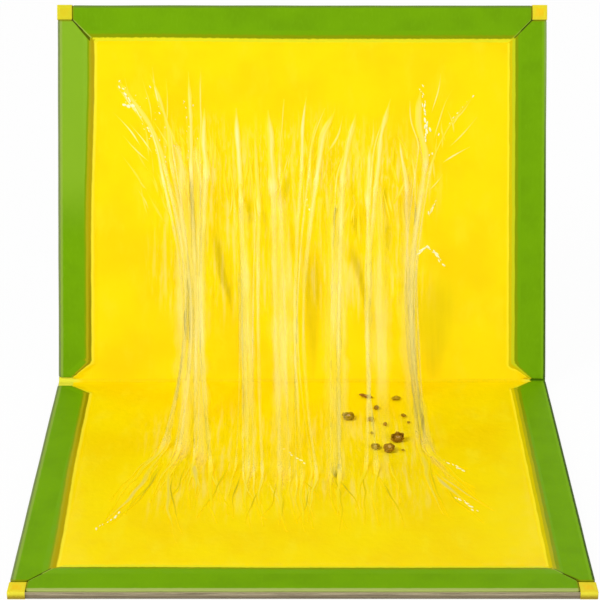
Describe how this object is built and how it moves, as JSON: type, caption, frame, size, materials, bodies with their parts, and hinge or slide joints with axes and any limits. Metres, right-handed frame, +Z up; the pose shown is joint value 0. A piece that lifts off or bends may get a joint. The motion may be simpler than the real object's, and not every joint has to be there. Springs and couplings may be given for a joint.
{
  "type": "folding mouse glue board",
  "caption": "Book-type glue trap: two yellow-lined board leaves with green edge strips, paper fold hinge, glue pads with drawn-out strings, and bait crumbs.",
  "frame": {"origin": "centre of the lower leaf's underside, which is the face it stands on", "axes": "+X along the fold, to the right as seen from the open side; +Y from the lower leaf's front edge to the fold; +Z up"},
  "size_m": [0.2158, 0.2352, 0.1549],
  "materials": {
    "greyboard": "matte",
    "liner_yellow": "satin",
    "cover_green": "satin",
    "strip_green": "satin",
    "corner_yellow": "satin",
    "glue_clear": "gloss",
    "glue_string_pale": "gloss",
    "bait_brown": "matte"
  },
  "bodies": {
    "lower_leaf": {"lower_outer_cover": "cover_green", "lower_greyboard": "greyboard", "lower_liner": "liner_yellow", "lower_glue_pad": "glue_clear", "lower_outer_edge_strip": "strip_green", "lower_left_edge_strip": "strip_green", "lower_left_corner_patch": "corner_yellow", "lower_right_edge_strip": "strip_green", "lower_right_corner_patch": "corner_yellow", "fold_liner": "liner_yellow", "spine_cover": "cover_green", "glue_string_01": "glue_string_pale", "glue_string_02": "glue_string_pale", "glue_string_03": "glue_string_pale", "glue_string_04": "glue_string_pale", "glue_string_05": "glue_string_pale", "glue_string_06": "glue_string_pale", "glue_string_07": "glue_string_pale", "glue_string_08": "glue_string_pale", "glue_string_09": "glue_string_pale", "glue_string_10": "glue_string_pale", "glue_string_11": "glue_string_pale", "glue_string_12": "glue_string_pale", "bait_crumb_01": "bait_brown", "bait_crumb_02": "bait_brown", "bait_crumb_03": "bait_brown", "bait_crumb_04": "bait_brown", "bait_crumb_05": "bait_brown", "bait_crumb_06": "bait_brown", "bait_crumb_07": "bait_brown", "bait_crumb_08": "bait_brown", "bait_crumb_09": "bait_brown", "bait_crumb_10": "bait_brown", "bait_crumb_11": "bait_brown", "bait_crumb_12": "bait_brown", "bait_crumb_13": "bait_brown"},
    "upper_leaf": {"upper_outer_cover": "cover_green", "upper_greyboard": "greyboard", "upper_liner": "liner_yellow", "upper_glue_pad": "glue_clear", "upper_outer_edge_strip": "strip_green", "upper_left_edge_strip": "strip_green", "upper_left_corner_patch": "corner_yellow", "upper_right_edge_strip": "strip_green", "upper_right_corner_patch": "corner_yellow"}
  },
  "joints": [
    {"name": "cover_hinge", "type": "hinge", "parent": "lower_leaf", "child": "upper_leaf", "pos_m": [0, 0.0825, 0.0037], "axis": [1, 0, 0], "range_deg": [-66.3, 108.7], "deforming": ["fold_liner", "spine_cover", "glue_string_01", "glue_string_02", "glue_string_03", "glue_string_04", "glue_string_05", "glue_string_06", "glue_string_07", "glue_string_08", "glue_string_09", "glue_string_10", "glue_string_11", "glue_string_12"]}
  ]
}
